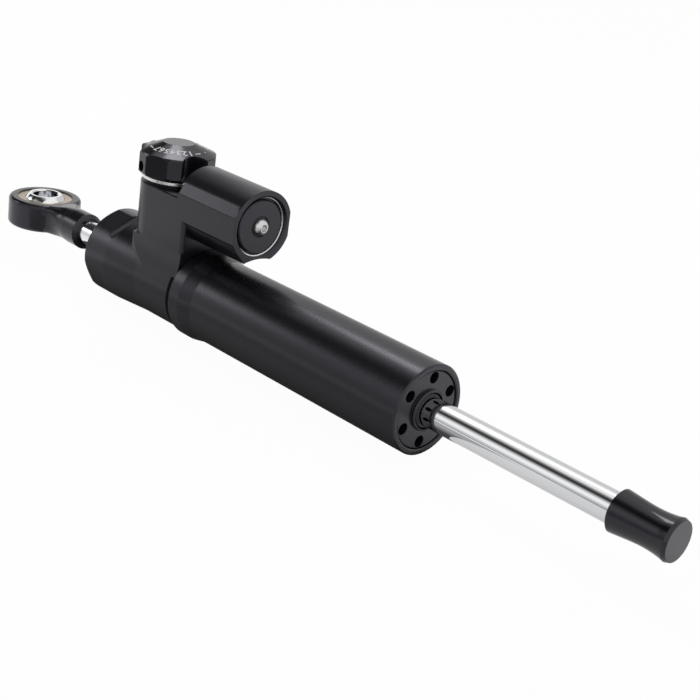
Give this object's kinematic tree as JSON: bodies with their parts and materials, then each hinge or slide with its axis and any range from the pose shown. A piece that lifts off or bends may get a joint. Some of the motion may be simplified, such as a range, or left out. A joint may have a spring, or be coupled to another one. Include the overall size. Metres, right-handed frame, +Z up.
{
  "type": "steering damper",
  "caption": "Through-rod hydraulic steering damper with an adjuster knob, a piggyback reservoir and a spherical rod end.",
  "frame": {"origin": "on the rod's axis, half way along the plain outside wall of the tube", "axes": "+X along the rod from the rod end to the end cap, +Z up at the adjuster knob, +Y away from the viewer of the picture"},
  "size_m": [0.327, 0.0332, 0.0673],
  "materials": {
    "black_anodised": "black anodised, satin",
    "plain_aluminium": "turned",
    "bright_ring": "bright turned",
    "hard_chrome": "polished hard chrome",
    "black_steel": "black oxide, satin",
    "gloss_black": "gloss black",
    "bronze": "lined bronze",
    "bright_steel": "bright",
    "black_rubber": "matt",
    "filled_ptfe": "matt",
    "polyurethane": "matt"
  },
  "bodies": {
    "damper_body": {"outer_tube": "black_anodised", "inner_cylinder": "plain_aluminium", "head_block": "black_anodised", "front_gland": "black_anodised", "front_bush": "bronze", "rear_bush": "bronze", "front_rod_seal": "black_rubber", "rear_rod_seal": "black_rubber", "front_wiper": "black_rubber", "rear_wiper": "black_rubber", "front_bump_stop": "polyurethane", "rear_bump_stop": "polyurethane", "gland_o_ring": "black_rubber", "head_o_ring": "black_rubber", "reservoir_end_plate": "black_anodised", "end_plate_o_ring": "black_rubber", "snap_ring": "bright_steel", "fill_screw": "bright_steel", "fill_screw_washer": "black_rubber", "adjuster_cartridge": "black_anodised", "cartridge_o_ring": "black_rubber", "click_ring": "bright_ring", "detent_ball": "bright_steel", "detent_spring": "bright_steel"},
    "ring": {"piston_ring": "filled_ptfe"},
    "rod": {"piston_rod": "hard_chrome", "piston": "plain_aluminium", "piston_circlips": "bright_steel", "rod_end_body": "black_steel", "rod_end_race": "bronze", "rod_cap": "gloss_black"},
    "ball": {"rod_end_ball": "hard_chrome"},
    "knob": {"adjuster_knob": "black_anodised", "knob_grub_screw": "black_steel", "adjuster_stem": "bright_steel", "stem_o_ring": "black_rubber"},
    "needle": {"metering_needle": "bright_steel"},
    "float": {"reservoir_piston": "plain_aluminium", "reservoir_piston_o_ring": "black_rubber"}
  },
  "joints": [
    {"name": "rod_slide", "type": "slide", "parent": "damper_body", "child": "ring", "axis": [1, 0, 0], "range_m": [-0.0677, 0.0047]},
    {"name": "rod_turn", "type": "hinge", "parent": "ring", "child": "rod", "pos_m": [0, 0, 0], "axis": [1, 0, 0], "continuous": true},
    {"name": "ball_tilt", "type": "hinge", "parent": "rod", "child": "ball", "pos_m": [-0.168, 0, 0], "axis": [0, 1, 0], "range_deg": [-12, 12]},
    {"name": "knob_turn", "type": "hinge", "parent": "damper_body", "child": "knob", "pos_m": [-0.0844, 0, 0.04], "axis": [0, 0, 1], "range_deg": [-270, 270]},
    {"name": "needle_lift", "type": "slide", "parent": "damper_body", "child": "needle", "axis": [0, 0, 1], "range_m": [-0.00053, 0.00053]},
    {"name": "float_slide", "type": "slide", "parent": "damper_body", "child": "float", "axis": [1, 0, 0], "range_m": [-0.0065, 0.0055]}
  ],
  "couplings": [
    {"joint": "needle_lift", "follows": "knob_turn", "m_per_rad": 0.00011141}
  ]
}
